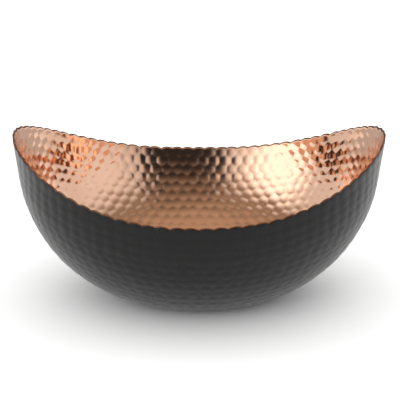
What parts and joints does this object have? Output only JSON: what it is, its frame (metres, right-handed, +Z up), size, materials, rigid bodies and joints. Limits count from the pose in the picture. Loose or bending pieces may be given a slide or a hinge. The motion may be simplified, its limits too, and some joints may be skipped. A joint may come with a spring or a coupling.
{
  "type": "bowl",
  "caption": "Boat-shaped hammered bowl with a scalloped dipping rim: polished copper liner nested in a dark outer sheet, closed by a thin rim bead.",
  "frame": {"origin": "on the table, under the middle of the bowl: bottom centre of the bounding box", "axes": "+X along the length, from one raised end to the other; +Y across the width; +Z up, out of the open mouth"},
  "size_m": [0.305, 0.2326, 0.1417],
  "materials": {
    "dark_coat": "matte charcoal coat over hammered steel sheet",
    "copper": "polished, lacquered hammered copper",
    "rim_copper": "toned copper edge, browner and duller than the liner",
    "pad_rubber": "matte black"
  },
  "bodies": {
    "root": {"outer_shell": "dark_coat", "copper_liner": "copper", "rim_bead": "rim_copper", "base_pad_1": "pad_rubber", "base_pad_2": "pad_rubber", "base_pad_3": "pad_rubber", "base_pad_4": "pad_rubber"}
  },
  "joints": []
}
